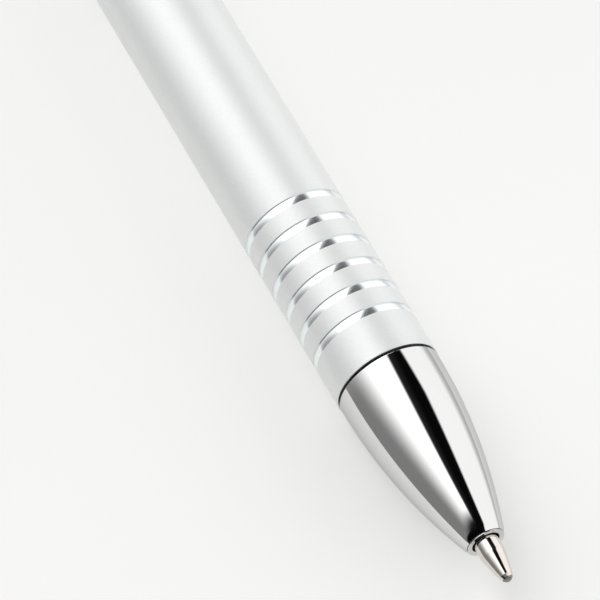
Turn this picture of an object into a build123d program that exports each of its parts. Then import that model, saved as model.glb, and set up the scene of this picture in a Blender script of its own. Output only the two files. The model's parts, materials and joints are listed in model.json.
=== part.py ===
from build123d import *
import math
import os

os.makedirs("parts", exist_ok=True)

# A twist-action ballpoint pen with a rubber stylus end, in millimetres and degrees.
# The pen's axis is X and the writing point is towards +X. Z is up as the pen lies on a table.
# The origin is on the axis, at the rear end face of the lower barrel.
# The writing point is out at rest, and turning the upper barrel draws it in.

# Barrels
barrel_diameter = 10.0
barrel_wall = 0.65
lower_barrel_length = 50.0
band_width = 2.0
band_recess = 0.3
seam_gap = 0.15

# Polished grip grooves in the lower barrel, counted back from its front end
groove_count = 6
groove_pitch = 2.7
groove_width = 0.82
groove_depth = 0.18
groove_setback = 4.45

# Nose cone
nose_length = 18.22
nose_step = 0.07
shadow_gap = 0.25
shadow_gap_depth = 0.4
rim_diameter = 3.5
rim_band_length = 0.5
rim_band_drop = 0.24
nose_thread_length = 8.0
insert_length = 10.0

# Refill, whose diameter is the room that the barrel and the two sleeves of the mechanism leave
refill_length = 98.0
refill_wall = 0.3
neck_diameter = 3.2
shoulder_length = 1.0
tip_projection = 4.28
point_diameter = 2.3
neck_setback = 0.4
point_cone_length = 2.6
point_end_diameter = 1.16
point_stem_diameter = 1.7
point_stem_length = 4.0
ball_diameter = 1.0
ball_exposure = 0.3
ink_channel_diameter = 0.5
ink_air_space = 12.0
refill_plug_flange = 2.5
refill_plug_depth = 5.0
refill_plug_recess_diameter = 3.0
refill_plug_recess_depth = 4.0

# Return spring
spring_wire = 0.4
spring_diameter = 4.3
spring_turns = 9
spring_length = 10.3
spring_seat_depth = 5.0

# Twist mechanism
travel = 5.6
twist_angle = 180.0
pin_diameter = 1.5
carrier_length = 10.0
carrier_pin_setback = 6.0
guide_wall = 0.6
cam_wall = 0.6
guide_plug_length = 12.0
journal_length = 8.0
slot_end_wall = 2.0
retaining_ring_thickness = 0.5
retaining_ring_gap = 2.4
guide_tail = 1.0
o_ring_section = 0.7

# Top plug and stylus end
plug_gap = 2.0
plug_length = 6.0
stud_diameter = 5.0
stud_length = 5.0
holder_partition = 1.4
holder_end_diameter = 8.2
holder_straight = 2.2
stylus_diameter = 7.4
stylus_length = 6.2
stylus_wall = 1.0
stylus_neck_diameter = 6.4
stylus_neck_length = 2.6
core_reach = 1.2
core_pin_diameter = 2.0

# Pocket clip
clip_length = 36.0
clip_thickness = 0.8
clip_width = 4.2
clip_end_width = 3.4
clip_gap = 1.2
clip_contact_setback = 3.5
clip_tip_lift = 1.1
clip_foot_depth = 1.1
clip_heel_radius = 1.1
clip_contact_bend = 5.0
clip_corner_radius = 1.3
clip_table_gap = 0.7

# Clearances
running_clearance = 0.05
refill_clearance = 0.15
spring_clearance = 0.2
end_float = 0.1
ball_clearance = 0.02
o_ring_clearance = 0.02
clip_play = 0.2
clip_contact_clearance = 0.1

# Radii that follow from the sizes above, from the barrel inwards
barrel_radius = barrel_diameter / 2
bore_radius = barrel_radius - barrel_wall
journal_radius = bore_radius - running_clearance
cam_bore_radius = bore_radius - cam_wall
guide_radius = cam_bore_radius - running_clearance
passage_radius = guide_radius - guide_wall
refill_radius = passage_radius - refill_clearance
ink_radius = refill_radius - refill_wall
thread_radius = (passage_radius + bore_radius) / 2
pin_radius = pin_diameter / 2
pin_reach = bore_radius - 2 * running_clearance
slot_width = pin_diameter + 2 * running_clearance
point_radius = point_diameter / 2
ball_radius = ball_diameter / 2

# Places along the axis, from the seam towards the writing point
barrel_front = lower_barrel_length
nose_base = barrel_front + shadow_gap
nose_rim = nose_base + nose_length
tip_end = nose_rim + tip_projection
ball_center = tip_end - ball_radius
point_front = tip_end - ball_exposure
spring_seat = nose_rim - spring_seat_depth
point_rear = spring_seat - neck_setback
refill_shoulder = spring_seat - spring_length
refill_rear = tip_end - refill_length

# Places along the axis, from the seam towards the stylus
band_rear = -band_width
upper_front = band_rear - seam_gap
journal_rear = upper_front - journal_length
cam_front = journal_rear - end_float
pin_place = refill_rear - carrier_pin_setback
slot_front = pin_place + slot_width / 2
slot_rear = pin_place - travel - slot_width / 2
cam_rear = slot_rear - slot_end_wall
retaining_front = cam_rear - end_float
retaining_rear = retaining_front - retaining_ring_thickness
guide_rear = retaining_rear - guide_tail
carrier_rear = refill_rear - carrier_length
plug_front = min(guide_rear, carrier_rear - travel) - plug_gap
upper_rear = plug_front - plug_length
partition_front = upper_rear - stud_length
partition_rear = partition_front - holder_partition
holder_rear = partition_rear - stylus_neck_length
stylus_rear = holder_rear - stylus_length

# The clip lies beside the pen, turned about the axis so that its lower corner just clears the table.
clip_inner_radius = barrel_radius + clip_gap
clip_outer_radius = clip_inner_radius + clip_thickness
clip_corner_reach = math.hypot(clip_outer_radius, clip_width / 2)
clip_corner_angle = math.degrees(math.atan2(clip_width / 2, clip_outer_radius))
clip_height_angle = math.degrees(math.acos((barrel_radius - clip_table_gap) / clip_corner_reach))
clip_roll = clip_corner_angle + clip_height_angle - 90
clip_out = Vector(0, 1, 0).rotate(Axis.X, clip_roll)
clip_across = Vector(0, 0, 1).rotate(Axis.X, clip_roll)
clip_side_plane = Plane(origin=(0, 0, 0), x_dir=(1, 0, 0), z_dir=clip_across)
clip_plan_plane = Plane(origin=(0, 0, 0), x_dir=(1, 0, 0), z_dir=clip_out)
clip_notch_length = clip_thickness + 2 * clip_play
clip_notch_width = clip_width + 2 * clip_play
clip_root = upper_rear + clip_notch_length / 2
clip_foot_radius = bore_radius - clip_foot_depth


# A closed outline of axial places and radii, turned about the pen's axis
def turned_outline(*points):
    with BuildSketch() as outline:
        with BuildLine():
            Polyline(*points, close=True)
        make_face()
    revolve(outline.sketch, axis=Axis.X)


# A plain round tube on the pen's axis
def tube(front, rear, outer_radius, inner_radius):
    turned_outline(
        (front, inner_radius), (front, outer_radius), (rear, outer_radius), (rear, inner_radius)
    )


# Lower barrel: a plain tube with shallow flat-bottomed grooves near its front end
with BuildPart() as lower_barrel:
    tube(barrel_front, 0, barrel_radius, bore_radius)
    first_groove = barrel_front - groove_setback
    groove_places = [(first_groove - k * groove_pitch, barrel_radius) for k in range(groove_count)]
    with BuildSketch():
        with Locations(*groove_places):
            Rectangle(groove_width, 2 * groove_depth)
    revolve(axis=Axis.X, mode=Mode.SUBTRACT)
lower_barrel.part.label = "lower_barrel"
export_step(lower_barrel.part, "parts/lower_barrel.step")

# Front insert: a bush in the barrel's front end, in which the nose cone is screwed
with BuildPart() as front_insert:
    tube(barrel_front, barrel_front - insert_length, bore_radius, thread_radius)
front_insert.part.label = "front_insert"
export_step(front_insert.part, "parts/front_insert.step")

# Nose cone: an arc from the joint to the rim band, with a narrow neck that leaves a dark joint line.
# Inside are the threaded tail, the refill's passage, the spring's chamber and the tip's hole.
nose_radius = barrel_radius - nose_step
rim_radius = rim_diameter / 2
rim_band_start = nose_rim - rim_band_length
rim_band_radius = rim_radius + rim_band_drop
shadow_radius = barrel_radius - shadow_gap_depth
spring_chamber_radius = spring_diameter / 2 + spring_clearance
tip_hole_radius = point_radius + refill_clearance
passage_front = refill_shoulder + end_float
thread_rear = barrel_front - nose_thread_length
with BuildPart() as nose_cone:
    with BuildSketch():
        with BuildLine():
            TangentArc((nose_base, nose_radius), (rim_band_start, rim_band_radius), tangent=(1, 0))
            Polyline(
                (rim_band_start, rim_band_radius),
                (nose_rim, rim_radius),
                (nose_rim, tip_hole_radius),
                (spring_seat, tip_hole_radius),
                (spring_seat, spring_chamber_radius),
                (passage_front, spring_chamber_radius),
                (passage_front, passage_radius),
                (thread_rear, passage_radius),
                (thread_rear, thread_radius),
                (barrel_front, thread_radius),
                (barrel_front, shadow_radius),
                (nose_base, shadow_radius),
                (nose_base, nose_radius),
            )
        make_face()
    revolve(axis=Axis.X)
nose_cone.part.label = "nose_cone"
export_step(nose_cone.part, "parts/nose_cone.step")

# Point housing: the turned tip that holds the ball, with a stem in the refill's neck
stem_radius = point_stem_diameter / 2
point_stem_rear = point_rear - point_stem_length
cone_rear = point_front - point_cone_length
with BuildPart() as point_housing:
    turned_outline(
        (point_front, 0),
        (point_front, point_end_diameter / 2),
        (cone_rear, point_radius),
        (point_rear, point_radius),
        (point_rear, stem_radius),
        (point_stem_rear, stem_radius),
        (point_stem_rear, 0),
    )
    with Locations((ball_center, 0, 0)):
        Sphere(ball_radius + ball_clearance, mode=Mode.SUBTRACT)
    channel_length = ball_center - point_stem_rear
    with Locations((ball_center - channel_length / 2, 0, 0)):
        Cylinder(
            ink_channel_diameter / 2, channel_length, rotation=(0, 90, 0), mode=Mode.SUBTRACT
        )
point_housing.part.label = "point_housing"
export_step(point_housing.part, "parts/point_housing.step")

# Writing ball: turns freely in the housing's round seat
with BuildPart() as writing_ball:
    with Locations((ball_center, 0, 0)):
        Sphere(ball_radius)
writing_ball.part.label = "writing_ball"
export_step(writing_ball.part, "parts/writing_ball.step")

# Refill tube: a neck that the spring slides over, a shoulder that the spring presses, and the ink tube
neck_radius = neck_diameter / 2
tube_front = refill_shoulder - shoulder_length
tube_rear = refill_rear + refill_plug_flange
with BuildPart() as refill_tube:
    turned_outline(
        (point_rear, stem_radius),
        (point_rear, neck_radius),
        (refill_shoulder, neck_radius),
        (refill_shoulder, refill_radius),
        (tube_rear, refill_radius),
        (tube_rear, ink_radius),
        (tube_front, ink_radius),
        (tube_front, stem_radius),
    )
refill_tube.part.label = "refill_tube"
export_step(refill_tube.part, "parts/refill_tube.step")

# Ink column: fills the neck behind the stem and the front part of the tube
plug_inner_end = tube_rear + refill_plug_depth
ink_rear = plug_inner_end + ink_air_space
with BuildPart() as ink_column:
    turned_outline(
        (point_stem_rear, 0),
        (point_stem_rear, stem_radius),
        (tube_front, stem_radius),
        (tube_front, ink_radius),
        (ink_rear, ink_radius),
        (ink_rear, 0),
    )
ink_column.part.label = "ink_column"
export_step(ink_column.part, "parts/ink_column.step")

# Refill plug: closes the tube and has a recess for the carrier's spigot
recess_radius = refill_plug_recess_diameter / 2
recess_end = refill_rear + refill_plug_recess_depth
with BuildPart() as refill_plug:
    turned_outline(
        (plug_inner_end, 0),
        (plug_inner_end, ink_radius),
        (tube_rear, ink_radius),
        (tube_rear, refill_radius),
        (refill_rear, refill_radius),
        (refill_rear, recess_radius),
        (recess_end, recess_radius),
        (recess_end, 0),
    )
refill_plug.part.label = "refill_plug"
export_step(refill_plug.part, "parts/refill_plug.step")

# Return spring: one wire between the nose cone's seat and the refill's shoulder
coil_radius = (spring_diameter - spring_wire) / 2
coil_start = refill_shoulder + running_clearance + spring_wire / 2
coil_height = spring_length - 2 * running_clearance - spring_wire
coil_pitch = coil_height / spring_turns
with BuildPart() as return_spring:
    with BuildLine():
        coil = Helix(coil_pitch, coil_height, coil_radius, (coil_start, 0, 0), (1, 0, 0))
    with BuildSketch(Plane(origin=coil @ 0, z_dir=coil % 0)):
        Circle(spring_wire / 2)
    sweep(path=coil, is_frenet=True)
return_spring.part.label = "return_spring"
export_step(return_spring.part, "parts/return_spring.step")

# Guide sleeve: plugs the lower barrel, carries the band and the upper barrel, and guides the cross pin
# in two straight slots
o_ring_place = (upper_front + journal_rear) / 2
o_ring_groove_radius = bore_radius - o_ring_clearance - o_ring_section
o_ring_half_groove = o_ring_section / 2 + running_clearance
retaining_groove_radius = guide_radius - guide_wall / 2
with BuildPart() as guide_sleeve:
    turned_outline(
        (guide_plug_length, passage_radius),
        (guide_plug_length, bore_radius),
        (band_rear, bore_radius),
        (band_rear, journal_radius),
        (o_ring_place + o_ring_half_groove, journal_radius),
        (o_ring_place + o_ring_half_groove, o_ring_groove_radius),
        (o_ring_place - o_ring_half_groove, o_ring_groove_radius),
        (o_ring_place - o_ring_half_groove, journal_radius),
        (journal_rear, journal_radius),
        (journal_rear, guide_radius),
        (retaining_front, guide_radius),
        (retaining_front, retaining_groove_radius),
        (retaining_rear, retaining_groove_radius),
        (retaining_rear, guide_radius),
        (guide_rear, guide_radius),
        (guide_rear, passage_radius),
    )
    with BuildSketch():
        with Locations(((slot_front + slot_rear) / 2, 0)):
            SlotOverall(slot_front - slot_rear, slot_width)
    extrude(amount=barrel_radius, both=True, mode=Mode.SUBTRACT)
guide_sleeve.part.label = "guide_sleeve"
export_step(guide_sleeve.part, "parts/guide_sleeve.step")

# Center band: a bright ring on the guide sleeve, between the two barrels
with BuildPart() as center_band:
    tube(0, band_rear, barrel_radius - band_recess, bore_radius)
center_band.part.label = "center_band"
export_step(center_band.part, "parts/center_band.step")

# Friction ring: an O-ring in the journal's groove, which drags on the upper barrel
with BuildPart() as friction_o_ring:
    with Locations((o_ring_place, 0, 0)):
        Torus(o_ring_groove_radius + o_ring_section / 2, o_ring_section / 2, rotation=(0, 90, 0))
friction_o_ring.part.label = "friction_o_ring"
export_step(friction_o_ring.part, "parts/friction_o_ring.step")

# Cam sleeve: turns with the upper barrel, and its two helical slots drive the cross pin along the axis.
# Each slot reaches past the pin's travel by half its width at both ends.
cam_mean_radius = (cam_bore_radius + bore_radius) / 2
cam_travel_path = math.hypot(travel, math.radians(twist_angle) * cam_mean_radius)
cam_overrun = slot_width / 2 / cam_travel_path
cam_slot_start = pin_place - travel * (1 + cam_overrun)
cam_slot_height = travel * (1 + 2 * cam_overrun)
cam_slot_pitch = travel * 360 / twist_angle
cam_slot_line = Helix(cam_slot_pitch, cam_slot_height, cam_mean_radius, (cam_slot_start, 0, 0), (1, 0, 0))
cam_slot_angle = -twist_angle * (1 + cam_overrun)
with BuildPart() as cam_sleeve:
    tube(cam_front, cam_rear, bore_radius, cam_bore_radius)
    for half_turn in (0, 180):
        slot_line = cam_slot_line.rotate(Axis.X, cam_slot_angle + half_turn)
        slot_begin = slot_line @ 0
        slot_radial = (0, slot_begin.Y, slot_begin.Z)
        with BuildSketch(Plane(origin=slot_begin, x_dir=slot_radial, z_dir=slot_line % 0)):
            Rectangle(2 * cam_wall, slot_width)
        sweep(path=slot_line, is_frenet=True, mode=Mode.SUBTRACT)
cam_sleeve.part.label = "cam_sleeve"
export_step(cam_sleeve.part, "parts/cam_sleeve.step")

# Refill carrier: a slider in the guide sleeve, with a spigot in the refill's plug and a hole for the pin
carrier_radius = passage_radius - running_clearance
spigot_radius = recess_radius - running_clearance
spigot_end = recess_end - end_float
with BuildPart() as refill_carrier:
    turned_outline(
        (spigot_end, 0),
        (spigot_end, spigot_radius),
        (refill_rear, spigot_radius),
        (refill_rear, carrier_radius),
        (carrier_rear, carrier_radius),
        (carrier_rear, 0),
    )
    with Locations((pin_place, 0, 0)):
        Cylinder(pin_radius, barrel_diameter, mode=Mode.SUBTRACT)
refill_carrier.part.label = "refill_carrier"
export_step(refill_carrier.part, "parts/refill_carrier.step")

# Cross pin: through the carrier, into the straight and the helical slots
with BuildPart() as cross_pin:
    with Locations((pin_place, 0, 0)):
        Cylinder(pin_radius, 2 * pin_reach)
cross_pin.part.label = "cross_pin"
export_step(cross_pin.part, "parts/cross_pin.step")

# Retaining ring: an open ring in the guide sleeve's groove, behind the cam sleeve
retaining_ring_radius = bore_radius - refill_clearance
with BuildPart() as retaining_ring:
    tube(retaining_front, retaining_rear, retaining_ring_radius, retaining_groove_radius)
    with Locations(((retaining_front + retaining_rear) / 2, barrel_radius / 2, 0)):
        Box(2 * retaining_ring_thickness, barrel_radius, retaining_ring_gap, mode=Mode.SUBTRACT)
retaining_ring.part.label = "retaining_ring"
export_step(retaining_ring.part, "parts/retaining_ring.step")

# Upper barrel: a plain tube with a notch for the clip's foot in its rear end
with BuildPart() as upper_barrel:
    tube(upper_front, upper_rear, barrel_radius, bore_radius)
    with BuildSketch(clip_plan_plane):
        with Locations((clip_root, 0)):
            Rectangle(clip_notch_length, clip_notch_width)
    extrude(amount=barrel_diameter, mode=Mode.SUBTRACT)
upper_barrel.part.label = "upper_barrel"
export_step(upper_barrel.part, "parts/upper_barrel.step")

# Top plug: closes the upper barrel, holds the clip's foot in a pocket and carries the stud for the holder
stud_radius = stud_diameter / 2
with BuildPart() as top_plug:
    turned_outline(
        (plug_front, 0),
        (plug_front, bore_radius),
        (upper_rear, bore_radius),
        (upper_rear, stud_radius),
        (partition_front, stud_radius),
        (partition_front, 0),
    )
    with BuildSketch(clip_plan_plane.offset(clip_foot_radius - clip_play)):
        with Locations((clip_root, 0)):
            Rectangle(clip_notch_length, clip_notch_width)
    extrude(amount=barrel_radius, mode=Mode.SUBTRACT)
top_plug.part.label = "top_plug"
export_step(top_plug.part, "parts/top_plug.step")

# Pocket clip: a bent strip, tapered towards its free end, with its foot in the plug's pocket
clip_line_radius = clip_inner_radius + clip_thickness / 2
clip_contact_line = barrel_radius + clip_contact_clearance + clip_thickness / 2
clip_end = clip_root + clip_length
clip_heel = clip_root - clip_thickness
with BuildPart() as pocket_clip:
    with BuildSketch(clip_side_plane):
        with BuildLine():
            FilletPolyline(
                (clip_root, clip_foot_radius),
                (clip_root, clip_line_radius),
                (clip_end - clip_contact_setback, clip_contact_line),
                (clip_end, clip_contact_line + clip_tip_lift),
                radius=(clip_heel_radius, clip_contact_bend),
            )
        trace(line_width=clip_thickness)
    extrude(amount=clip_width / 2, both=True)
    with BuildSketch(clip_plan_plane) as clip_plan:
        with BuildLine():
            Polyline(
                (clip_heel, clip_width / 2),
                (clip_end, clip_end_width / 2),
                (clip_end, -clip_end_width / 2),
                (clip_heel, -clip_width / 2),
                close=True,
            )
        make_face()
        fillet(clip_plan.vertices().group_by(Axis.X)[-1], radius=clip_corner_radius)
    extrude(amount=2 * clip_outer_radius, mode=Mode.INTERSECT)
pocket_clip.part.label = "pocket_clip"
export_step(pocket_clip.part, "parts/pocket_clip.step")

# Stylus holder: screwed on the plug's stud, closes the clip's notch and holds the rubber tip in a socket.
# Its outline is straight, then an arc that draws in towards the tip.
core_pin_radius = core_pin_diameter / 2
stylus_neck_radius = stylus_neck_diameter / 2
holder_curve_start = (upper_rear - holder_straight, barrel_radius)
holder_curve_end = (holder_rear, holder_end_diameter / 2)
with BuildPart() as stylus_holder:
    with BuildSketch():
        with BuildLine():
            TangentArc(holder_curve_start, holder_curve_end, tangent=(-1, 0))
            Polyline(
                holder_curve_end,
                (holder_rear, stylus_neck_radius),
                (partition_rear, stylus_neck_radius),
                (partition_rear, core_pin_radius),
                (partition_front, core_pin_radius),
                (partition_front, stud_radius),
                (upper_rear, stud_radius),
                (upper_rear, barrel_radius),
                holder_curve_start,
            )
        make_face()
    revolve(axis=Axis.X)
stylus_holder.part.label = "stylus_holder"
export_step(stylus_holder.part, "parts/stylus_holder.step")

# Stylus core: a plug with a pin in the holder's partition, which keeps the rubber neck in the socket
core_radius = stylus_diameter / 2 - stylus_wall
core_rear = holder_rear - core_reach
with BuildPart() as stylus_core:
    turned_outline(
        (partition_front, 0),
        (partition_front, core_pin_radius),
        (partition_rear, core_pin_radius),
        (partition_rear, core_radius),
        (core_rear, core_radius),
        (core_rear, 0),
    )
stylus_core.part.label = "stylus_core"
export_step(stylus_core.part, "parts/stylus_core.step")

# Stylus tip: a hollow rubber dome with a neck in the holder's socket
stylus_radius = stylus_diameter / 2
dome_center = stylus_rear + stylus_radius
dome_slant = math.sqrt(0.5)
with BuildPart() as stylus_tip:
    with BuildSketch():
        with BuildLine():
            Polyline(
                (dome_center, core_radius),
                (partition_rear, core_radius),
                (partition_rear, stylus_neck_radius),
                (holder_rear, stylus_neck_radius),
                (holder_rear, stylus_radius),
                (dome_center, stylus_radius),
            )
            ThreePointArc(
                (dome_center, stylus_radius),
                (dome_center - stylus_radius * dome_slant, stylus_radius * dome_slant),
                (dome_center - stylus_radius, 0),
            )
            Line((dome_center - stylus_radius, 0), (dome_center - core_radius, 0))
            ThreePointArc(
                (dome_center - core_radius, 0),
                (dome_center - core_radius * dome_slant, core_radius * dome_slant),
                (dome_center, core_radius),
            )
        make_face()
    revolve(axis=Axis.X)
stylus_tip.part.label = "stylus_tip"
export_step(stylus_tip.part, "parts/stylus_tip.step")
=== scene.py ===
import bmesh
import bpy
import json
import numpy as np
from mathutils import Matrix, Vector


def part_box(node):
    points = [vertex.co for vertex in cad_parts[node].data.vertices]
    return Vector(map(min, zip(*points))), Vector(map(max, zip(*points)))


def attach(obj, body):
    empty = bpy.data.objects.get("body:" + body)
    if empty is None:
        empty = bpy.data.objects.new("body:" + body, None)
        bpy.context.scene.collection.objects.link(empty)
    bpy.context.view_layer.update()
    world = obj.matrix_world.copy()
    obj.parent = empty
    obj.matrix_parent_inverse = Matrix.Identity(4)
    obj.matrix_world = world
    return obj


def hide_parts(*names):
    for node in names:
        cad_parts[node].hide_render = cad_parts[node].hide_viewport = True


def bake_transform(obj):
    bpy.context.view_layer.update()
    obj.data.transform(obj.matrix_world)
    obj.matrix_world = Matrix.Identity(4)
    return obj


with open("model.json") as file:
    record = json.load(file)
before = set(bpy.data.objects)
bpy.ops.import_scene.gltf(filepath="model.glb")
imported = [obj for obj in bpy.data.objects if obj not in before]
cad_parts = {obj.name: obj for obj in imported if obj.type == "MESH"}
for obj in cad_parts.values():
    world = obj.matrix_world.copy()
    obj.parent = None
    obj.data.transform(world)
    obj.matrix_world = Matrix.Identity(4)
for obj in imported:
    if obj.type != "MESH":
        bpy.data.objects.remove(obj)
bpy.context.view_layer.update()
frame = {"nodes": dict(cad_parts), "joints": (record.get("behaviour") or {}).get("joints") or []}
print("frame loaded with", len(frame["nodes"]), "CAD pieces")

mm = 0.001
tiny = 1e-9
weldReach = 0.0001 * mm
leastStep = 0.0005 * mm  # outline points that lie closer count as one
scene = bpy.context.scene


# Surfaces

def unit(vectors):
    return vectors / np.maximum(np.linalg.norm(vectors, axis=-1, keepdims=True), tiny)


# Puts points and four-sided faces into a mesh, with the faces turned outwards by the sign of the volume
def meshPiece(name, points, faces, sharpAngle=40):
    a, b, c, d = np.moveaxis(points[faces], 1, 0)
    volume = np.sum(a * np.cross(b, c)) + np.sum(a * np.cross(c, d))
    if volume < 0:
        faces = faces[:, ::-1]
    mesh = bpy.data.meshes.new(name)
    mesh.vertices.add(len(points))
    mesh.vertices.foreach_set("co", points.astype(np.float32).ravel())
    mesh.loops.add(faces.size)
    mesh.loops.foreach_set("vertex_index", faces.astype(np.int32).ravel())
    mesh.polygons.add(len(faces))
    mesh.polygons.foreach_set("loop_start", np.arange(0, faces.size, 4, dtype=np.int32))
    mesh.update(calc_edges=True)
    weld = bmesh.new()
    weld.from_mesh(mesh)
    bmesh.ops.remove_doubles(weld, verts=weld.verts, dist=weldReach)
    weld.to_mesh(mesh)
    weld.free()
    mesh.shade_smooth()
    mesh.set_sharp_from_angle(angle=np.radians(sharpAngle))
    piece = bpy.data.objects.new(name, mesh)
    scene.collection.objects.link(piece)
    return piece


# Grid surface: grid neighbours make faces, and a wrapped direction joins its last line to its first
def gridPiece(name, grid, wrapRows, wrapColumns):
    rows, columns = grid.shape[:2]
    index = np.arange(rows * columns).reshape(rows, columns)
    if wrapRows:
        index = np.vstack([index, index[:1]])
    if wrapColumns:
        index = np.hstack([index, index[:, :1]])
    faces = np.stack([index[:-1, :-1], index[1:, :-1], index[1:, 1:], index[:-1, 1:]], -1)
    return meshPiece(name, grid.reshape(-1, 3), faces.reshape(-1, 4))


# Softened outline: each corner (x, r, radius) becomes an arc of that radius that touches both its runs.
# A point of the arc is its centre plus the two end spokes, weighted by the sines of the angles to go and
# gone, over the sine of the whole sweep. One more point on each run, a little past the arc, keeps straight
# runs shading straight.
def softOutline(corners, steps=6, margin=0.3):
    corners = np.array(corners, float)
    point = corners[:, :2]
    back = unit(np.roll(point, 1, axis=0) - point)
    ahead = unit(np.roll(point, -1, axis=0) - point)
    halfAngle = np.arccos(np.clip(np.sum(back * ahead, 1, keepdims=True), -1, 1)) / 2
    cut = corners[:, 2:] / np.tan(np.maximum(halfAngle, tiny))
    sweep = np.pi - 2 * halfAngle
    centre = point + unit(back + ahead) * cut / np.maximum(np.cos(halfAngle), tiny)
    start = point + back * cut - centre
    end = point + ahead * cut - centre
    t = np.linspace(0, 1, steps)[:, None, None]
    turn = np.sin((1 - t) * sweep) * start + np.sin(t * sweep) * end
    arc = centre + turn / np.maximum(np.sin(sweep), tiny)
    before = point + back * cut * (1 + margin)
    after = point + ahead * cut * (1 + margin)
    outline = np.concatenate([before[None], arc, after[None]]).transpose(1, 0, 2).reshape(-1, 2)
    stepLength = np.linalg.norm(np.diff(outline, axis=0), axis=1)
    return outline[np.append(True, stepLength > leastStep)]


# Arc that leaves start along the pen's axis and reaches end: its angle grows to twice the chord's slope
def axialArc(start, end, steps):
    along = end[0] - start[0]
    drop = start[1] - end[1]
    radius = (along**2 + drop**2) / (2 * drop)
    angle = np.linspace(0, 2 * np.arctan2(drop, abs(along)), steps)
    x = start[0] + np.sign(along) * radius * np.sin(angle)
    r = start[1] - radius * (1 - np.cos(angle))
    return np.stack([x, r, np.zeros(steps)], 1)


# Points on a circle about (centre, 0) between two angles measured from +X, with no rounding of their own
def roundPoints(centre, radius, first, last, steps=24):
    angle = np.radians(np.linspace(first, last, steps))
    return np.stack([centre + radius * np.cos(angle), radius * np.sin(angle), np.zeros(steps)], 1)


# Keeps the poles of an outline on the axis: no radius falls below zero
def polesOnAxis(outline):
    return np.maximum(outline, (-np.inf, 0))


# Turned piece: the outline point (x, r) at turn angle t lies at (x, r cos t, r sin t)
def turned(name, outline, closed=True, turns=180):
    angle = np.arange(turns) * 2 * np.pi / turns
    x = np.broadcast_to(outline[:, :1], (len(outline), turns))
    y = outline[:, 1:] * np.cos(angle)
    z = outline[:, 1:] * np.sin(angle)
    return gridPiece(name, np.stack([x, y, z], -1), closed, True)


# Rear end, front end and outer radius of a turned CAD piece
def turnedSpan(node):
    low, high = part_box(node)
    return low.x, high.x, high.z


# Shaders

class Signal:  # one value in a shader, on which arithmetic adds Math nodes
    def __init__(self, bench, socket):
        self.bench = bench
        self.socket = socket

    def join(self, operation, first, second):
        return self.bench.add("Math", {"operation": operation}, {0: first, 1: second})

    def __add__(self, other):
        return self.join("ADD", self, other)

    __radd__ = __add__

    def __sub__(self, other):
        return self.join("SUBTRACT", self, other)

    def __rsub__(self, other):
        return self.join("SUBTRACT", other, self)

    def __mul__(self, other):
        return self.join("MULTIPLY", self, other)

    __rmul__ = __mul__

    def __pow__(self, other):
        return self.join("POWER", self, other)


class Bench:  # the node tree of one material or of the world
    def __init__(self, owner):
        owner.use_nodes = True
        self.tree = owner.node_tree
        self.tree.nodes.clear()

    # Makes a node of any type: its settings come first, then the values or links of its sockets
    def add(self, kind, settings=None, sockets=None, output=0):
        node = self.tree.nodes.new("ShaderNode" + kind)
        for name, setting in (settings or {}).items():
            setattr(node, name, setting)
        for name, value in (sockets or {}).items():
            if isinstance(value, Signal):
                self.tree.links.new(value.socket, node.inputs[name])
            else:
                node.inputs[name].default_value = value
        return Signal(self, node.outputs[output] if node.outputs else None)

    def outputs(self, kind, sockets=None):
        node = self.add(kind, None, sockets).socket.node
        return {socket.name: Signal(self, socket) for socket in node.outputs}

    def axes(self, vector):
        return self.outputs("SeparateXYZ", {0: vector})

    def noise(self, vector, scale, detail, roughness=0.5):
        sockets = {"Vector": vector, "Scale": scale, "Detail": detail, "Roughness": roughness}
        return self.add("TexNoise", None, sockets)

    # Noise in one dimension, which makes rings along an axis
    def rings(self, value, scale):
        return self.add("TexNoise", {"noise_dimensions": "1D"}, {"W": value, "Scale": scale})

    def stretched(self, vector, scale):
        return self.add("VectorMath", {"operation": "MULTIPLY"}, {0: vector, 1: scale})

    # Smooth step of a value, from 0 at low to 1 at high
    def rise(self, value, low, high):
        sockets = {"Value": value, "From Min": low, "From Max": high}
        return self.add("MapRange", {"interpolation_type": "SMOOTHSTEP"}, sockets)

    # Mixes two colours: they enter the Mix node at sockets 6 and 7 and leave it at 2
    def tint(self, factor, first, second):
        first = first if isinstance(first, Signal) else (*first, 1)
        second = second if isinstance(second, Signal) else (*second, 1)
        return self.add("Mix", {"data_type": "RGBA"}, {0: factor, 6: first, 7: second}, 2)

    def bump(self, height, distance):
        return self.add("Bump", None, {"Height": height, "Distance": distance})

    def surface(self, sockets):
        shader = self.add("BsdfPrincipled", None, sockets)
        self.add("OutputMaterial", None, {"Surface": shader})


# Starts a material, and gives its bench and the place on the piece
def startFinish(name):
    material = bpy.data.materials.new(name)
    bench = Bench(material)
    return material, bench, bench.add("TexCoord", output="Object")


# Distance from the pen's axis: the root of the sum of the two cross axes' squares
def fromAxis(axes):
    return (axes["Y"] * axes["Y"] + axes["Z"] * axes["Z"]) ** 0.5


# Satin aluminium: bead-blasted grain and soft blotches, with the cut grooves and edges polished bright
satinAluminium = {
    "light": (0.945, 0.96, 0.953),
    "dark": (0.80, 0.815, 0.808),
    "bright": (0.92, 0.955, 0.97),
    "blotchScale": 160,
    "blotchDetail": 3,
    "grainScale": 7000,
    "grainDetail": 2,
    "grainShare": 0.75,
    "grainHeight": 0.004 * mm,
    "satin": 0.48,
    "satinMetallic": 0.4,
    "satinVary": 0.08,
    "polished": 0.21,
    "cutMetallic": 0.9,
    "cutDepths": (0.06 * mm, 0.04 * mm),  # below the barrel's skin, from polished to satin
    "cutLines": 30000,
    "cutLineShare": 0.05,
}


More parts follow.
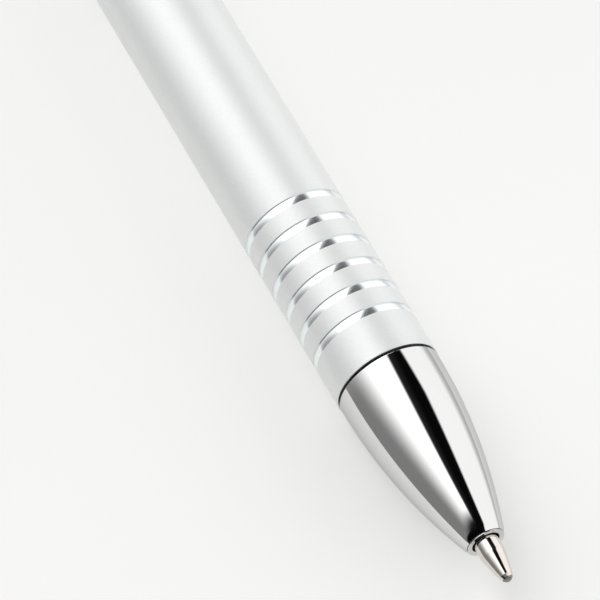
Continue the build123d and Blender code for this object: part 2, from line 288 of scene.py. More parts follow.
def makeSatinAluminium(barrelRadius):
    look = satinAluminium
    material, bench, place = startFinish("satinAluminium")
    axes = bench.axes(place)
    polished, uncut = look["cutDepths"]
    satin = bench.rise(fromAxis(axes), barrelRadius - polished, barrelRadius - uncut)
    blotch = bench.noise(place, look["blotchScale"], look["blotchDetail"])
    grain = bench.noise(place, look["grainScale"], look["grainDetail"])
    lines = look["cutLineShare"] * bench.rings(axes["X"], look["cutLines"])
    shade = (1 - look["grainShare"]) * blotch + look["grainShare"] * grain
    blasted = bench.tint(shade, look["dark"], look["light"])
    rough = look["satin"] - look["satinVary"] / 2 + look["satinVary"] * grain
    bench.surface({
        "Base Color": bench.tint(satin, look["bright"], blasted),
        "Metallic": look["cutMetallic"] + (look["satinMetallic"] - look["cutMetallic"]) * satin,
        "Roughness": look["polished"] + satin * (rough - look["polished"]),
        "Normal": bench.bump(satin * grain + lines * (1 - satin), look["grainHeight"]),
    })
    return material


# Bright chrome: near mirror, with a faint haze of handling and hair scratches; recesses are painted dull and
# near black as shade
brightChrome = {
    "plate": (0.735, 0.735, 0.73),
    "haze": (0.705, 0.705, 0.70),
    # painted shade: the near black colour given to the recesses
    "bare": (0.012, 0.011, 0.011),
    "grazing": (0.7, 0.7, 0.7),
    "hazeScale": 180,
    "hazeDetail": 4,
    "hazeCoarse": 0.6,
    "hazePower": 3.0,
    "scratchScale": (900, 9000, 9000),
    "scratchDetail": 3,
    "mirror": 0.04,
    "hazeVary": 0.05,
    "scratchHeight": 0.0002 * mm,
    "bareRough": 0.5,
    "bareEnd": 0.01 * mm,  # over which a recess ends along the axis
    "bareSoft": 0.02 * mm,  # to either side of its radius
}


# Each recess is a span along the axis and the radius within which the chrome is painted near black as shade
def makeBrightChrome(name, recesses=()):
    look = brightChrome
    end = look["bareEnd"]
    soft = look["bareSoft"]
    material, bench, place = startFinish(name)
    haze = bench.noise(place, look["hazeScale"], look["hazeDetail"], look["hazeCoarse"])
    scratch = bench.noise(bench.stretched(place, look["scratchScale"]), 1.0, look["scratchDetail"])
    color = bench.tint(haze, look["plate"], look["haze"])
    roughness = look["mirror"] + look["hazeVary"] * haze ** look["hazePower"]
    # Painted shade: within each recess the colour goes near black and the roughness rises
    for rear, front, radius in recesses:
        axes = bench.axes(place)
        inSpan = bench.rise(axes["X"], rear - end, rear) * bench.rise(axes["X"], front + end, front)
        bare = inSpan * bench.rise(fromAxis(axes), radius + soft, radius - soft)
        color = bench.tint(bare, color, look["bare"])
        roughness = roughness + look["bareRough"] * bare
    bench.surface({
        "Base Color": color,
        "Specular Tint": (*look["grazing"], 1),
        "Metallic": 1.0,
        "Roughness": roughness,
        "Normal": bench.bump(scratch, look["scratchHeight"]),
    })
    return material


# Turned metals: fine rings along the axis over a slight change of colour, from the tool or the drawing die
turnedMetals = {
    "nickelSilver": {
        "light": (0.75, 0.71, 0.67), "dark": (0.70, 0.65, 0.605), "rough": 0.1, "roughVary": 0.06,
        "rings": 16000, "height": 0.0003 * mm,
    },
    "turnedBrass": {
        "light": (0.80, 0.62, 0.31), "dark": (0.70, 0.52, 0.24), "rough": 0.22, "roughVary": 0.15,
        "rings": 9000, "height": 0.002 * mm,
    },
    "pinSteel": {
        "light": (0.66, 0.67, 0.69), "dark": (0.56, 0.57, 0.59), "rough": 0.2, "roughVary": 0.1,
        "rings": 12000, "height": 0.001 * mm,
    },
    "refillMetal": {
        "light": (0.74, 0.74, 0.75), "dark": (0.66, 0.66, 0.68), "rough": 0.25, "roughVary": 0.12,
        "rings": 4000, "height": 0.001 * mm,
    },
    "springSteel": {
        "light": (0.66, 0.66, 0.67), "dark": (0.52, 0.52, 0.53), "rough": 0.24, "roughVary": 0.12,
        "rings": 20000, "height": 0.0005 * mm,
    },
    "carbideBall": {
        "light": (0.30, 0.29, 0.285), "dark": (0.21, 0.205, 0.20), "rough": 0.08, "roughVary": 0.08,
        "rings": 30000, "height": 0.0002 * mm,
    },
}
turnedSkin = {"blotchScale": 700, "blotchDetail": 3, "ringShare": 0.5}


def makeTurnedMetal(name):
    look = turnedMetals[name]
    share = turnedSkin["ringShare"]
    material, bench, place = startFinish(name)
    rings = bench.rings(bench.axes(place)["X"], look["rings"])
    blotch = bench.noise(place, turnedSkin["blotchScale"], turnedSkin["blotchDetail"])
    bench.surface({
        "Base Color": bench.tint(share * rings + (1 - share) * blotch, look["dark"], look["light"]),
        "Metallic": 1.0,
        "Roughness": look["rough"] - look["roughVary"] / 2 + look["roughVary"] * blotch,
        "Normal": bench.bump(rings, look["height"]),
    })
    return material


# Mouldings: plastic, rubber and ink, with a slight clouding of colour and a fine skin
mouldings = {
    "whiteAcetal": {
        "light": (0.88, 0.87, 0.84), "dark": (0.82, 0.81, 0.775), "rough": 0.38, "roughVary": 0.1,
        "cloud": 300, "skin": 6000, "height": 0.002 * mm, "specular": 0.45,
    },
    "blackAcetal": {
        "light": (0.055, 0.055, 0.06), "dark": (0.035, 0.035, 0.038), "rough": 0.4, "roughVary": 0.12,
        "cloud": 300, "skin": 6000, "height": 0.002 * mm, "specular": 0.45,
    },
    "stylusRubber": {
        "light": (0.036, 0.036, 0.038), "dark": (0.022, 0.022, 0.023), "rough": 0.62, "roughVary": 0.2,
        "cloud": 500, "skin": 4500, "height": 0.006 * mm, "specular": 0.4,
    },
    "sealRubber": {
        "light": (0.055, 0.055, 0.055), "dark": (0.035, 0.035, 0.035), "rough": 0.55, "roughVary": 0.15,
        "cloud": 500, "skin": 5000, "height": 0.004 * mm, "specular": 0.4,
    },
    "ink": {
        "light": (0.02, 0.03, 0.2), "dark": (0.012, 0.018, 0.12), "rough": 0.15, "roughVary": 0.1,
        "cloud": 250, "skin": 1500, "height": 0.003 * mm, "specular": 0.5,
    },
}
mouldedSkin = {"cloudDetail": 4, "cloudShare": 0.7, "skinDetail": 3, "skinCoarse": 0.6}


def makeMoulding(name):
    look = mouldings[name]
    share = mouldedSkin["cloudShare"]
    material, bench, place = startFinish(name)
    cloud = bench.noise(place, look["cloud"], mouldedSkin["cloudDetail"])
    skin = bench.noise(place, look["skin"], mouldedSkin["skinDetail"], mouldedSkin["skinCoarse"])
    bench.surface({
        "Base Color": bench.tint(share * cloud + (1 - share) * skin, look["dark"], look["light"]),
        "Roughness": look["rough"] - look["roughVary"] / 2 + look["roughVary"] * skin,
        "Specular IOR Level": look["specular"],
        "Normal": bench.bump(skin, look["height"]),
    })
    return material


# Lower barrel: a tube with six polished grooves, with steep walls and slightly crowned floors
lowerBarrel = {
    "bore": 4.35 * mm,  # the upper barrel's and the band's too
    "grooves": 6,
    "pitch": 2.7 * mm,
    "width": 0.78 * mm,
    "depth": 0.085 * mm,
    "crown": 0.03 * mm,
    "wallRun": 0.02 * mm,
    "floorSteps": 13,
    "setback": 4.45 * mm,
    "edgeRounding": 0.02 * mm,
    "endRounding": 0.05 * mm,
}


# Across a groove, with u from -1 to 1 between its walls, the floor sinks by the depth plus the crown times
# u squared, and the walls lean out from the floor's edges to the barrel
def makeLowerBarrel():
    size = lowerBarrel
    rear, front, radius = turnedSpan("lower_barrel")
    u = np.linspace(-1, 1, size["floorSteps"])
    half = size["width"] / 2
    floorLine = np.stack([u * half, -size["depth"] - size["crown"] * u**2, np.zeros_like(u)], 1)
    wall = np.array([half + size["wallRun"], 0, size["edgeRounding"]])
    groove = np.vstack([wall * (-1, 1, 1), floorLine, wall])
    steps = size["setback"] + size["pitch"] * np.arange(size["grooves"])[::-1]
    places = np.stack([front - steps, np.full_like(steps, radius), np.zeros_like(steps)], 1)
    grooves = (places[:, None] + groove).reshape(-1, 3)
    rounding = size["endRounding"]
    corners = [
        (rear, size["bore"], rounding / 2),
        (rear, radius, rounding),
        *grooves,
        (front, radius, rounding),
        (front, size["bore"], rounding / 2),
    ]
    return turned("lowerBarrelTube", softOutline(corners))


# Nose cone: an arc from the joint to a rim, which ends in a fine crease, painted dark as shade by its
# chrome, and a dished lip, with the neck, the tip's hole and the spring's chamber
noseCone = {
    "gap": 0.25 * mm,
    "neckRadius": 4.6 * mm,
    "baseRounding": 0.05 * mm,
    "arcSteps": 72,
    "turns": 240,
    "rimBand": 0.5 * mm,
    "rimBandRadius": 1.99 * mm,
    "lipLength": 0.06 * mm,
    "lipRadius": 1.78 * mm,
    "lipRounding": 0.008 * mm,
    "creaseLength": 0.05 * mm,
    "creaseRadius": 1.72 * mm,
    "creaseEdge": 1.82 * mm,
    "creaseRounding": 0.01 * mm,
    "lipDish": 0.03 * mm,
    "holeRadius": 1.3 * mm,
    "holeRounding": 0.05 * mm,
    "holeDepth": 5.0 * mm,
    "chamberRadius": 2.35 * mm,
    "chamberSetback": 15.2 * mm,
    "passageRadius": 3.1 * mm,
    "threadRadius": 3.725 * mm,
    "threadRounding": 0.1 * mm,
    # within these the chrome is painted near black as shade
    "bareNeckRadius": 4.7 * mm,
    "bareNeckReach": 0.1 * mm,  # behind the joint
    "bareMargin": 0.03 * mm,
}


def makeNoseCone():
    size = noseCone
    rear, rim, radius = turnedSpan("nose_cone")
    joint = turnedSpan("lower_barrel")[1]
    base = joint + size["gap"]
    seat = rim - size["holeDepth"]
    chamberRear = rim - size["chamberSetback"]
    bandStart = (rim - size["rimBand"], size["rimBandRadius"])
    arc = axialArc((base + 2 * size["baseRounding"], radius), bandStart, size["arcSteps"])
    lip = rim - size["lipLength"]
    crease = lip - size["creaseLength"]
    corners = [
        (base, size["neckRadius"], 0),
        (base, radius, size["baseRounding"]),
        *arc,
        (crease, size["creaseEdge"], size["creaseRounding"]),
        (crease, size["creaseRadius"], 0),
        (lip, size["creaseRadius"], 0),
        (lip, size["lipRadius"], size["creaseRounding"]),
        (rim, size["lipRadius"], size["lipRounding"]),
        (rim - size["lipDish"], size["holeRadius"], size["holeRounding"]),
        (seat, size["holeRadius"], 0),
        (seat, size["chamberRadius"], 0),
        (chamberRear, size["chamberRadius"], 0),
        (chamberRear, size["passageRadius"], 0),
        (rear, size["passageRadius"], 0),
        (rear, size["threadRadius"], size["threadRounding"]),
        (joint, size["threadRadius"], 0),
        (joint, size["neckRadius"], 0),
    ]
    return turned("noseConeShell", softOutline(corners), turns=size["turns"])


# Places on the nose cone where the chrome is painted near black as shade: the gap at the joint, the tip's
# hole and the crease
def noseRecesses():
    size = noseCone
    joint = turnedSpan("lower_barrel")[1]
    rim = turnedSpan("nose_cone")[1]
    lip = rim - size["lipLength"]
    return [
        (joint - size["bareNeckReach"], joint + size["gap"], size["bareNeckRadius"]),
        (rim - size["holeDepth"], rim, size["holeRadius"] + size["bareMargin"]),
        (lip - size["creaseLength"], lip, size["creaseRadius"] + size["bareMargin"]),
    ]


# Point housing: a cylinder, a slightly bulging cone and a steeper lip, crimped round the ball's seat
pointHousing = {
    "coneLength": 2.6 * mm,
    "coneSteps": 24,
    "turns": 144,
    "bulge": 0.02 * mm,
    "lipRadius": 0.62 * mm,
    "lipLength": 0.25 * mm,
    "lipRounding": 0.03 * mm,
    "stemLength": 4.0 * mm,
    "stemRadius": 0.85 * mm,
    "stemRounding": 0.05 * mm,
    "channelRadius": 0.25 * mm,
    "seatClearance": 0.02 * mm,
}


# The cone's radius falls evenly from the shoulder to the lip, plus a bulge of 4 t (1 - t)
def makePointHousing():
    size = pointHousing
    rear, front, radius = turnedSpan("point_housing")
    shoulder = front - size["coneLength"]
    lip = front - size["lipLength"]
    stemEnd = rear + size["stemLength"]
    ballRear, ballFront, ballRadius = turnedSpan("writing_ball")
    seatCentre = (ballRear + ballFront) / 2
    seatRadius = ballRadius + size["seatClearance"]
    t = np.linspace(0, 1, size["coneSteps"])[1:-1]
    x = shoulder + (lip - shoulder) * t
    r = radius + (size["lipRadius"] - radius) * t + size["bulge"] * 4 * t * (1 - t)
    cone = np.stack([x, r, np.zeros_like(t)], 1)
    lipAngle = np.degrees(np.arccos((front - seatCentre) / seatRadius))
    channelAngle = 180 - np.degrees(np.arcsin(size["channelRadius"] / seatRadius))
    corners = [
        (rear, size["channelRadius"], 0),
        (rear, size["stemRadius"], size["stemRounding"]),
        (stemEnd, size["stemRadius"], 0),
        (stemEnd, radius, size["stemRounding"]),
        (shoulder, radius, 0),
        *cone,
        (lip, size["lipRadius"], size["lipRounding"]),
        *roundPoints(seatCentre, seatRadius, lipAngle, channelAngle),
    ]
    return turned("pointHousingTip", softOutline(corners), turns=size["turns"])


# Writing ball: half a circle turned about the axis, closed at its two poles
writingBall = {"steps": 49, "turns": 96}


def makeWritingBall():
    size = writingBall
    rear, front, radius = turnedSpan("writing_ball")
    outline = roundPoints((rear + front) / 2, radius, 180, 0, size["steps"])[:, :2]
    return turned("writingBallSphere", polesOnAxis(outline), closed=False, turns=size["turns"])


# Return spring: a round wire along a helix, closed at both ends
returnSpring = {
    "turns": 9,
    "wireRadius": 0.2 * mm,
    "coilRadius": 1.95 * mm,
    "stepsPerTurn": 48,
    "sides": 12,
}


# Along the helix the angle a grows with x, and the wire's circle stands on the outward and sideways
# directions. The first and last rows shrink to a point.
def makeReturnSpring():
    size = returnSpring
    coil = size["coilRadius"]
    low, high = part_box("return_spring")
    rear = low.x + size["wireRadius"]
    height = high.x - low.x - 2 * size["wireRadius"]
    s = np.linspace(0, 1, size["turns"] * size["stepsPerTurn"] + 1)[:, None]
    a = 2 * np.pi * size["turns"] * s
    pitch = height / (2 * np.pi * size["turns"])
    zero = np.zeros_like(a)
    line = np.hstack([rear + height * s, coil * np.cos(a), coil * np.sin(a)])
    outward = np.hstack([zero, np.cos(a), np.sin(a)])
    tangent = unit(np.hstack([zero + pitch, -coil * np.sin(a), coil * np.cos(a)]))
    sideways = np.cross(tangent, outward)
    b = np.linspace(0, 2 * np.pi, size["sides"], endpoint=False)[:, None]
    circle = size["wireRadius"] * (np.cos(b) * outward[:, None] + np.sin(b) * sideways[:, None])
    reach = np.ones(len(s) + 2)
    reach[[0, -1]] = 0
    rows = np.clip(np.arange(-1, len(s) + 1), 0, len(s) - 1)
    grid = line[rows][:, None] + circle[rows] * reach[:, None, None]
    return gridPiece("returnSpringCoil", grid, False, True)


# Center band: a bright ring with rounded edges between the two barrels
centerBand = {"rounding": 0.14 * mm}


def makeCenterBand():
    size = centerBand
    bore = lowerBarrel["bore"]
    rear, front, radius = turnedSpan("center_band")
    corners = [
        (rear, bore, 0),
        (rear, radius, size["rounding"]),
        (front, radius, size["rounding"]),
        (front, bore, 0),
    ]
    return turned("centerBandRing", softOutline(corners))


# Upper barrel: a plain tube with a notch in its rear end for the clip's foot
upperBarrel = {
    "frontRounding": 0.12 * mm,
    "frontBoreRounding": 0.05 * mm,
    "rearRounding": 0.06 * mm,
    "rearBoreRounding": 0.03 * mm,
    "notchDepth": 1.2 * mm,
    "notchWidth": 4.6 * mm,
    "notchColumns": 31,
    "otherColumns": 151,
}


# Turned as the other tubes are, but columns within the notch stop at its depth. The notch's sides are
# parallel: at radius r they stand at the angle whose sine is half the width over r. Two columns lie on
# each side, one stopped and one not, and make its wall.
def makeUpperBarrel(clipOut, clipAcross):
    size = upperBarrel
    bore = lowerBarrel["bore"]
    rear, front, radius = turnedSpan("upper_barrel")
    stop = rear + size["notchDepth"]
    corners = [
        (front, bore, size["frontBoreRounding"]),
        (front, radius, size["frontRounding"]),
        (stop, radius, 0),
        (rear, radius, size["rearRounding"]),
        (rear, bore, size["rearBoreRounding"]),
        (stop, bore, 0),
    ]
    outline = softOutline(corners)
    x = outline[:, :1]
    r = outline[:, 1:]
    side = np.arcsin(size["notchWidth"] / 2 / r)
    within = np.linspace(-1, 1, size["notchColumns"]) * side
    around = side + np.linspace(0, 1, size["otherColumns"]) * (2 * np.pi - 2 * side)
    angle = np.hstack([within, around])
    along = np.hstack([np.maximum(x, stop) + 0 * within, x + 0 * around])
    radial = np.cos(angle)[..., None] * clipOut + np.sin(angle)[..., None] * clipAcross
    grid = r[..., None] * radial
    grid[..., 0] = along
    return gridPiece("upperBarrelTube", grid, True, True)


# Pocket clip: a strip with rounded edges along a bent line, tapered, with a rounded free end
pocketClip = {
    "thickness": 0.8 * mm,
    "width": 4.2 * mm,
    "endWidth": 3.4 * mm,
    "length": 36.0 * mm,
    "footRadius": 3.25 * mm,
    "lineRadius": 6.6 * mm,
    "contactLine": 5.5 * mm,
    "contactSetback": 3.5 * mm,
    "tipLift": 1.1 * mm,
    "heelBend": 1.1 * mm,
    "contactBend": 5.0 * mm,
    "cornerRadius": 1.3 * mm,
    "edgeRounding": 0.22 * mm,
    "bendSteps": 16,
    "lengthSteps": 90,
    "endSteps": 14,
    "edgeSteps": 6,
}


# The section is a rectangle with rounded corners, carried along the line at right angles to it. Its width
# falls evenly along the pen, and near the free end follows the quarter circles of the end's corners.
def makePocketClip(root, clipOut, clipAcross):
    size = pocketClip
    end = root + size["length"]
    bends = [
        (root, size["footRadius"], 0),
        (root, size["lineRadius"], size["heelBend"]),
        (end - size["contactSetback"], size["contactLine"], size["contactBend"]),
        (end, size["contactLine"] + size["tipLift"], 0),
    ]
    bent = softOutline(bends, size["bendSteps"])
    run = np.append(0, np.cumsum(np.linalg.norm(np.diff(bent, axis=0), axis=1)))
    endAngle = np.linspace(0, np.pi / 2, size["endSteps"])
    endRun = run[-1] - size["cornerRadius"] * (1 - np.sin(endAngle))
    evenRun = np.linspace(0, endRun[0], size["lengthSteps"])
    s = np.unique(np.concatenate([run[run < endRun[0]], evenRun, endRun]))
    x = np.interp(s, run, bent[:, 0])
    r = np.interp(s, run, bent[:, 1])
    slope = unit(np.stack([np.gradient(x, s), np.gradient(r, s)], 1))
    taper = np.clip((x - root) / size["length"], 0, 1)
    halfWidth = (size["width"] + (size["endWidth"] - size["width"]) * taper) / 2
    corner = np.clip(s - endRun[0], 0, size["cornerRadius"])
    halfWidth = halfWidth - size["cornerRadius"] + np.sqrt(size["cornerRadius"]**2 - corner**2)
    rounding = size["edgeRounding"]
    quarter = np.linspace(0, np.pi / 2, size["edgeSteps"])
    turn = (np.arange(4)[:, None] * np.pi / 2 + quarter).ravel()
    widthSign = np.repeat((1, -1, -1, 1), size["edgeSteps"])
    thickSign = np.repeat((1, 1, -1, -1), size["edgeSteps"])
    across = widthSign * (halfWidth[:, None] - rounding) + rounding * np.cos(turn)
    thick = thickSign * (size["thickness"] / 2 - rounding) + rounding * np.sin(turn)
    away = np.stack([-slope[:, 1], slope[:, 0]], 1)
    gridX = x[:, None] + away[:, :1] * thick
    gridR = r[:, None] + away[:, 1:] * thick
    grid = gridR[..., None] * clipOut + across[..., None] * clipAcross
    grid[..., 0] = gridX
    caps = [np.repeat(row.mean(0, keepdims=True), len(turn), 0)[None] for row in (grid[0], grid[-1])]
    return gridPiece("pocketClipStrip", np.concatenate([caps[0], grid, caps[1]]), False, True)


# Stylus holder: straight, then an arc that draws in towards the rubber tip, with its socket and stud hole
stylusHolder = {
    "straight": 2.2 * mm,
    "endRadius": 4.1 * mm,
    "frontRounding": 0.1 * mm,
    "endRounding": 0.16 * mm,
    "arcSteps": 40,
    "endRoom": 3,  # arc points left out before its end, where the rounding goes
    "socketRadius": 3.2 * mm,
    "socketDepth": 2.6 * mm,
    "socketRounding": 0.05 * mm,
    "partition": 1.4 * mm,
    "pinRadius": 1.0 * mm,
    "studRadius": 2.5 * mm,
}


def makeStylusHolder():
    size = stylusHolder
    rear, front, radius = turnedSpan("stylus_holder")
    socketEnd = rear + size["socketDepth"]
    studEnd = socketEnd + size["partition"]
    arc = axialArc((front - size["straight"], radius), (rear, size["endRadius"]), size["arcSteps"])
    arc[-1, 2] = size["endRounding"]
    corners = [
        (front, size["studRadius"], 0),
        (front, radius, size["frontRounding"]),
        *arc[:-1 - size["endRoom"]],
        arc[-1],
        (rear, size["socketRadius"], size["socketRounding"]),
        (socketEnd, size["socketRadius"], 0),
        (socketEnd, size["pinRadius"], 0),
        (studEnd, size["pinRadius"], 0),
        (studEnd, size["studRadius"], 0),
    ]
    return turned("stylusHolderCup", softOutline(corners))


# Stylus tip: a hollow dome with a neck that fills the holder's socket
stylusTip = {
    "wall": 1.0 * mm,
    "neckRounding": 0.05 * mm,
    "shoulderRounding": 0.25 * mm,
    "innerSteps": 20,
    "outerSteps": 40,
}


def makeStylusTip():
    size = stylusTip
    neckRadius = stylusHolder["socketRadius"]
    rear, neckEnd, radius = turnedSpan("stylus_tip")
    shoulder = neckEnd - stylusHolder["socketDepth"]
    centre = rear + radius
    bore = radius - size["wall"]
    corners = [
        *roundPoints(centre, bore, 180, 90, size["innerSteps"]),
        (neckEnd, bore, 0),
        (neckEnd, neckRadius, size["neckRounding"]),
        (shoulder, neckRadius, 0),
        (shoulder, radius, size["shoulderRounding"]),
        *roundPoints(centre, radius, 90, 180, size["outerSteps"]),
    ]
    return turned("stylusTipDome", polesOnAxis(softOutline(corners)), closed=False)


# Camera: worked out from where the pen's nose joint and axis show in a square picture of 600 pixels
photoView = {
    "picture": 600,
    "jointPixel": (388.3, 380.6),
    "axisTilt": 58.9,  # degrees below the picture's horizontal
    "axisToSight": 62.0,  # degrees between the axis and the line of sight
    "pixelsPerMetre": 11350,  # at the nose joint
    "distance": 0.42,
    "sensor": 36.0,
    "clipStart": 0.01,
}


# The joint's pixel gives the line of sight, the tilt and the angle to it give the axis in the camera's own
# directions (right, down, forward), and up is square to the axis and to the picture's horizontal
def makeCamera(jointPlace):
    look = photoView
    half = look["picture"] / 2
    focal = look["pixelsPerMetre"] * look["distance"]
    pixel = np.array([*look["jointPixel"], half + focal]) - half
    joint = pixel / focal * look["distance"]  # right, down and forward of the camera
    sight = unit(joint)
    tilt = np.radians(look["axisTilt"])
    angle = np.radians(look["axisToSight"])
    across = np.array([np.cos(tilt), np.sin(tilt), 0.0])
    across = unit(across - sight * (across @ sight))
    axis = across * np.sin(angle) - sight * np.cos(angle)
    up = unit(np.cross((1.0, 0.0, 0.0), axis))
    up = up * -np.sign(up[1])
    toWorld = np.stack([axis, np.cross(up, axis), up])
    place = np.array([jointPlace, 0, 0]) - toWorld @ joint
    data = bpy.data.cameras.new("photoCamera")
    data.sensor_width = look["sensor"]
    data.lens = focal / look["picture"] * look["sensor"]
    data.clip_start = look["clipStart"]
    camera = bpy.data.objects.new("photoCamera", data)
    scene.collection.objects.link(camera)
    turn = Matrix((toWorld * (1, -1, -1)).tolist()).to_4x4()
    camera.matrix_world = Matrix.Translation(place) @ turn
    scene.camera = camera


# Studio: a broad panel overhead to the camera's left that fades towards the horizon, less so to the rear,
# a second panel on the right, a dark gap between them, and a fill ahead of the pen. Each edge has a lean in
# degrees from upright to the left, a skew that turns it along the pen, and a softness. Behind its stop the
# right edge runs straight. Places are directions, from -1 to 1 along X or Z or to the left.
studio = {
    "panel": 1.92,
    "dim": 0.125,  # share of the panel's light that is left where it has faded
    "rearDim": (0.34, -0.42, -0.62),  # that share to the rear, and X where it starts and is reached
    "leftEdge": (9.0, 0.5, 0.06),
    "leftFade": (46.0, -0.46, 0.46, -0.64),  # lean, skew, place where it is dim, place where it is full
    "leftGlow": (0.02, -0.3, 0.0),  # strength in the gap, place where it starts, place where it is full
    "frontEdge": (0.18, 0.11),  # X, from dark to lit
    "rightEdge": (-26.0, 0.62, 0.05),
    "rightStop": -0.32,
    "rightFade": (-0.22, 0.08, 0.5),  # Z, from dim to full, and the dim share
    "rightShare": 0.65,
    "rightEnds": (-0.85, -0.65, 0.75, 0.35),  # X, from dark to lit at each end
    "aheadFill": (0.6, 0.42, 0.68),  # strength, and X from dark to lit
    "aheadFade": (-0.2, 0.0),  # Z, from dark to lit
    "gap": 0.003,
    "backdrop": (0.93, 0.93, 0.915),
}


def makeStudio():
    look = studio
    world = bpy.data.worlds.new("studio")
    scene.world = world
    bench = Bench(world)
    axes = bench.axes(bench.add("TexCoord", output="Generated"))

    def leftOf(lean, skew, forward):
        lean = np.radians(lean)
        return axes["Y"] * -np.cos(lean) - axes["Z"] * np.sin(lean) - skew * forward

    lean, skew, soft = look["leftEdge"]
    edge = leftOf(lean, skew, axes["X"])
    left = bench.rise(edge, -soft, soft)
    front = bench.rise(axes["X"], *look["frontEdge"])
    glow, low, high = look["leftGlow"]
    glow = glow * front * bench.rise(edge, low, high)
    lean, skew, low, high = look["leftFade"]
    fade = bench.rise(leftOf(lean, skew, axes["X"]), low, high)
    rearDim, low, high = look["rearDim"]
    dim = look["dim"] + (rearDim - look["dim"]) * bench.rise(axes["X"], low, high)
    left = left * (dim + (1 - dim) * fade)
    left = left * front
    lean, skew, soft = look["rightEdge"]
    forward = bench.add("Math", {"operation": "MAXIMUM"}, {0: axes["X"], 1: look["rightStop"]})
    right = bench.rise(leftOf(lean, skew, forward), soft, -soft)
    low, high, least = look["rightFade"]
    right = look["rightShare"] * right * (least + (1 - least) * bench.rise(axes["Z"], low, high))
    ends = look["rightEnds"]
    right = right * bench.rise(axes["X"], *ends[:2]) * bench.rise(axes["X"], *ends[2:])
    fill, low, high = look["aheadFill"]
    ahead = fill * bench.rise(axes["X"], low, high) * bench.rise(axes["Z"], *look["aheadFade"])
    light = look["panel"] * (left + right) + ahead + glow + look["gap"]
    seen = bench.outputs("LightPath")["Is Camera Ray"]
    lit = bench.add("Background", None, {"Color": (1, 1, 1, 1), "Strength": light})
    plain = bench.add("Background", None, {"Color": (*look["backdrop"], 1), "Strength": 1.0})
    mixed = bench.add("MixShader", None, {0: seen, 1: lit, 2: plain})
    bench.add("OutputWorld", None, {"Surface": mixed})


# Floor: a flat grid, pale and plain. Part of its brightness is a glow for the camera and for reflections,
# so that it looks as pale as the backdrop and still takes the pen's shadow. Behind the grooves and ahead of
# the tip the glow's share is larger, which leaves a fainter shadow there. To both sides of the pen the floor
# gives way to the backdrop, slowly for the camera and soon for reflections.
paleFloor = {
    "halfWidth": 3.0,
    "gridPoints": 5,
    "paper": (0.97, 0.97, 0.955),
    "glow": (0.81, 0.81, 0.80),
    "lift": (0.1, 0.1, 0.098),
    "noseShare": 0.26,
    "rearShare": 0.72,
    "shareSpan": (15.0 * mm, 50.0 * mm),  # along the pen, from the rear share to the nose's
    "tipSpan": (95.0 * mm, 65.0 * mm),  # the same from ahead of the tip
    "mirroredSpan": (24.0 * mm, 27.0 * mm),  # to the sides, from floor to backdrop in reflections
    "seenSpan": (24.0 * mm, 80.0 * mm),  # the same for the camera
}


def makeFloor(level):
    look = paleFloor
    side = look["halfWidth"] * np.linspace(-1, 1, look["gridPoints"])
    x, y = np.meshgrid(side, side, indexing="ij")
    piece = gridPiece("paleFloor", np.stack([x, y, np.full_like(x, level)], -1), False, False)
    material = bpy.data.materials.new("palePaper")
    bench = Bench(material)
    rays = bench.outputs("LightPath")
    unseen = (1 - rays["Is Camera Ray"]) * (1 - rays["Is Glossy Ray"]) * (1 - rays["Is Transmission Ray"])
    place = bench.axes(bench.add("TexCoord", output="Object"))
    nose = bench.rise(place["X"], *look["shareSpan"]) * bench.rise(place["X"], *look["tipSpan"])
    share = (1 - unseen) * (look["rearShare"] + (look["noseShare"] - look["rearShare"]) * nose)
    paper = bench.add("BsdfDiffuse", None, {"Color": (*look["paper"], 1)})
    glow = bench.add("Emission", None, {"Color": (*look["glow"], 1), "Strength": 1.0})
    lift = bench.add("Emission", None, {"Color": (*look["lift"], 1), "Strength": 1.0})
    both = bench.add("MixShader", None, {0: share, 1: paper, 2: glow})
    lifted = bench.add("AddShader", None, {0: both, 1: lift})
    shown = bench.add("MixShader", None, {0: unseen, 1: lifted, 2: both})
    sideways = bench.add("Math", {"operation": "ABSOLUTE"}, {0: place["Y"]})
    seenBeyond = rays["Is Camera Ray"] * bench.rise(sideways, *look["seenSpan"])
    beyond = seenBeyond + (1 - rays["Is Camera Ray"]) * bench.rise(sideways, *look["mirroredSpan"])
    faded = bench.add("MixShader", None, {0: beyond, 1: shown, 2: bench.add("BsdfTransparent")})
    bench.add("OutputMaterial", None, {"Surface": faded})
    piece.data.materials.append(material)


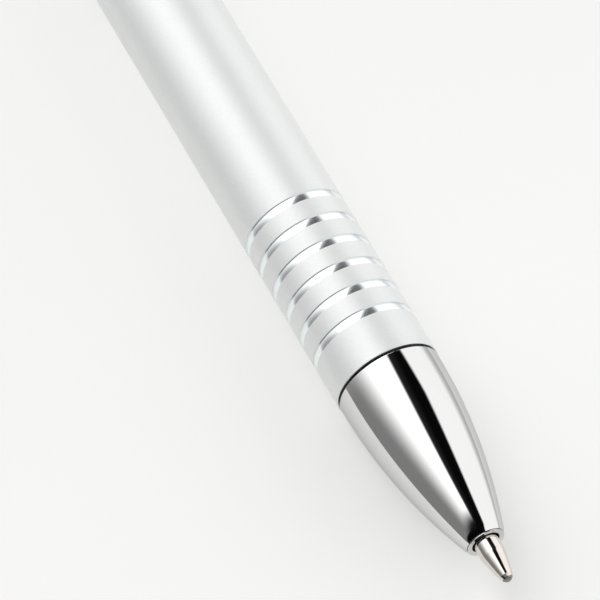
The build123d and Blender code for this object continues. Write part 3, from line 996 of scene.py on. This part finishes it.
# The pen put together
jointPlace, barrelRadius = turnedSpan("lower_barrel")[1:]
clipHinge = next(joint for joint in frame["joints"] if joint["name"] == "clip_flex")
clipAcross = np.array(clipHinge["axis"], float)
clipOut = np.cross(clipAcross, (1.0, 0.0, 0.0))

scene.view_settings.view_transform = "Standard"
makeCamera(jointPlace)
makeStudio()
makeFloor(-barrelRadius)
print("camera, studio and floor are set")

satin = makeSatinAluminium(barrelRadius)
chrome = makeBrightChrome("brightChrome")
noseChrome = makeBrightChrome("noseChrome", noseRecesses())
finishes = {name: makeTurnedMetal(name) for name in turnedMetals}
finishes.update({name: makeMoulding(name) for name in mouldings})
print("finishes are mixed")


def dress(piece, material, node, body):
    piece.data.materials.append(material)
    if body:
        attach(piece, body)
    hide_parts(node)
    return piece


dress(makeLowerBarrel(), satin, "lower_barrel", "lower")
dress(makeNoseCone(), noseChrome, "nose_cone", "lower")
dress(makeCenterBand(), chrome, "center_band", "lower")
dress(makeUpperBarrel(clipOut, clipAcross), satin, "upper_barrel", "upper")
dress(makeStylusHolder(), chrome, "stylus_holder", "upper")
dress(makeStylusTip(), finishes["stylusRubber"], "stylus_tip", "upper")
clip = makePocketClip(clipHinge["pos_m"][0], clipOut, clipAcross)
dress(clip, chrome, "pocket_clip", "clip")
dress(makePointHousing(), finishes["nickelSilver"], "point_housing", "refill")
dress(makeWritingBall(), finishes["carbideBall"], "writing_ball", "ball")
spring = dress(makeReturnSpring(), finishes["springSteel"], "return_spring", None)
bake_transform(spring)
print("outer pieces and spring are turned and bent")

# Inner pieces keep their CAD shape
innerFinishes = {
    "front_insert": "turnedBrass",
    "top_plug": "turnedBrass",
    "guide_sleeve": "whiteAcetal",
    "refill_carrier": "whiteAcetal",
    "stylus_core": "whiteAcetal",
    "cam_sleeve": "blackAcetal",
    "refill_plug": "blackAcetal",
    "cross_pin": "pinSteel",
    "retaining_ring": "pinSteel",
    "refill_tube": "refillMetal",
    "ink_column": "ink",
    "friction_o_ring": "sealRubber",
}
for node, finish in innerFinishes.items():
    mesh = frame["nodes"][node].data
    mesh.materials.clear()
    mesh.materials.append(finishes[finish])
print("inner pieces have their finishes")
